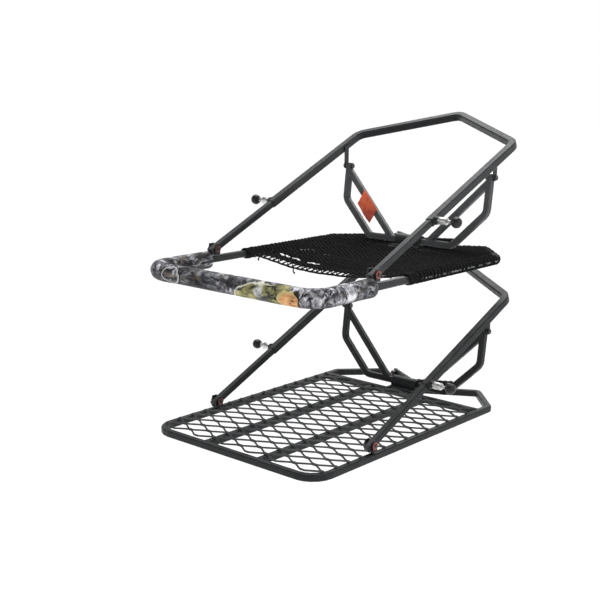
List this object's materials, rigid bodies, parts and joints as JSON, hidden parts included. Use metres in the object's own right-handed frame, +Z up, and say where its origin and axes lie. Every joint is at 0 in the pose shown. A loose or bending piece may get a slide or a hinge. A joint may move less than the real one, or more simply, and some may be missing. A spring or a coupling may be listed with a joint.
{
  "type": "climbing tree stand",
  "caption": "Two-section climbing tree stand: mesh foot platform and net seat, each with telescoping V bow, folding brace and spring pull pins.",
  "frame": {"origin": "middle of the platform's rear notch, on its tree side, at half the height of the platform's frame tube", "axes": "+X to the stand's right for a user who faces the tree from the front, +Y from the front bar to the tree, +Z up"},
  "size_m": [0.631, 0.8726, 0.7166],
  "materials": {
    "coat": "satin black powder coat, worn to grey on the edges",
    "deck": "black powder-coated expanded metal",
    "dark_bolt": "blackened steel",
    "plated_steel": "bright zinc plate",
    "knob": "glossy black ball",
    "washer": "red nylon",
    "net": "black knotted cord net",
    "pad": "foam sleeve with a printed bark camouflage in greys",
    "label": "blank orange-red label"
  },
  "bodies": {
    "platform": {"platform_frame": "coat", "platform_crossbar": "coat", "platform_slat_left": "coat", "platform_slat_right": "coat", "platform_deck": "deck", "platform_blade": "coat", "platform_brace_saddle": "coat", "platform_pivot_bracket_left": "coat", "platform_pivot_bracket_right": "coat", "platform_pivot_bolt_left": "dark_bolt", "platform_pivot_bolt_right": "dark_bolt", "platform_pivot_washer_left": "washer", "platform_pivot_washer_right": "washer"},
    "seat": {"seat_frame": "coat", "seat_crossbar": "coat", "seat_net": "net", "seat_lacing_left": "net", "seat_lacing_right": "net", "seat_bar_pad": "pad", "seat_blade": "coat", "seat_brace_saddle": "coat", "seat_pivot_bracket_left": "coat", "seat_pivot_bracket_right": "coat", "seat_pivot_bolt_left": "dark_bolt", "seat_pivot_bolt_right": "dark_bolt", "seat_pivot_washer_left": "washer", "seat_pivot_washer_right": "washer"},
    "platform_arms": {"platform_inner_arm_left": "coat", "platform_inner_arm_right": "coat"},
    "platform_bow_set": {"platform_bow": "coat", "platform_brace_ear_left": "coat", "platform_brace_ear_right": "coat", "platform_brace_bolt_left": "dark_bolt", "platform_brace_bolt_right": "dark_bolt", "platform_pin_barrel_left": "plated_steel", "platform_pin_barrel_right": "plated_steel", "platform_pin_spring_left": "plated_steel", "platform_pin_spring_right": "plated_steel"},
    "platform_brace_set": {"platform_brace": "coat"},
    "platform_pin_left": {"platform_pull_pin_left": "plated_steel", "platform_pin_knob_left": "knob"},
    "platform_pin_right": {"platform_pull_pin_right": "plated_steel", "platform_pin_knob_right": "knob"},
    "seat_arms": {"seat_inner_arm_left": "coat", "seat_inner_arm_right": "coat"},
    "seat_bow_set": {"seat_bow": "coat", "seat_brace_ear_left": "coat", "seat_brace_ear_right": "coat", "seat_brace_bolt_left": "dark_bolt", "seat_brace_bolt_right": "dark_bolt", "seat_pin_barrel_left": "plated_steel", "seat_pin_barrel_right": "plated_steel", "seat_pin_spring_left": "plated_steel", "seat_pin_spring_right": "plated_steel"},
    "seat_brace_set": {"seat_brace": "coat", "blank_label": "label"},
    "seat_pin_left": {"seat_pull_pin_left": "plated_steel", "seat_pin_knob_left": "knob"},
    "seat_pin_right": {"seat_pull_pin_right": "plated_steel", "seat_pin_knob_right": "knob"}
  },
  "joints": [
    {"name": "seat_climb", "type": "slide", "parent": "platform", "child": "seat", "axis": [0, 0, 1], "range_m": [-0.03, 0.4]},
    {"name": "platform_brace_fold", "type": "hinge", "parent": "platform", "child": "platform_brace_set", "pos_m": [0, -0.022, 0.0205], "axis": [-1, 0, 0], "range_deg": [0, 82.6]},
    {"name": "platform_arm_fold", "type": "hinge", "parent": "platform", "child": "platform_arms", "pos_m": [0, -0.469, 0.0257], "axis": [-1, 0, 0], "range_deg": [0, 21]},
    {"name": "platform_bow_slide", "type": "slide", "parent": "platform_arms", "child": "platform_bow_set", "axis": [0, 0.91, 0.4147], "range_m": [0, 0.1228]},
    {"name": "platform_pin_left_pull", "type": "slide", "parent": "platform_bow_set", "child": "platform_pin_left", "axis": [-1, 0, 0], "range_m": [0, 0.012], "stiffness_N_per_m": 400, "springref_m": -0.01, "deforming": ["platform_pin_spring_left"]},
    {"name": "platform_pin_right_pull", "type": "slide", "parent": "platform_bow_set", "child": "platform_pin_right", "axis": [1, 0, 0], "range_m": [0, 0.012], "stiffness_N_per_m": 400, "springref_m": -0.01, "deforming": ["platform_pin_spring_right"]},
    {"name": "seat_brace_fold", "type": "hinge", "parent": "seat", "child": "seat_brace_set", "pos_m": [0, -0.022, 0.3955], "axis": [-1, 0, 0], "range_deg": [0, 82.6]},
    {"name": "seat_arm_fold", "type": "hinge", "parent": "seat", "child": "seat_arms", "pos_m": [0, -0.469, 0.4007], "axis": [-1, 0, 0], "range_deg": [0, 21]},
    {"name": "seat_bow_slide", "type": "slide", "parent": "seat_arms", "child": "seat_bow_set", "axis": [0, 0.91, 0.4147], "range_m": [0, 0.1228]},
    {"name": "seat_pin_left_pull", "type": "slide", "parent": "seat_bow_set", "child": "seat_pin_left", "axis": [-1, 0, 0], "range_m": [0, 0.012], "stiffness_N_per_m": 400, "springref_m": -0.01, "deforming": ["seat_pin_spring_left"]},
    {"name": "seat_pin_right_pull", "type": "slide", "parent": "seat_bow_set", "child": "seat_pin_right", "axis": [1, 0, 0], "range_m": [0, 0.012], "stiffness_N_per_m": 400, "springref_m": -0.01, "deforming": ["seat_pin_spring_right"]}
  ],
  "couplings": [
    {"joint": "platform_arm_fold", "follows": "platform_brace_fold", "ratio": 0.25381},
    {"joint": "platform_bow_slide", "follows": "platform_brace_fold", "m_per_rad": 0.08501},
    {"joint": "seat_arm_fold", "follows": "seat_brace_fold", "ratio": 0.25381},
    {"joint": "seat_bow_slide", "follows": "seat_brace_fold", "m_per_rad": 0.08501}
  ]
}
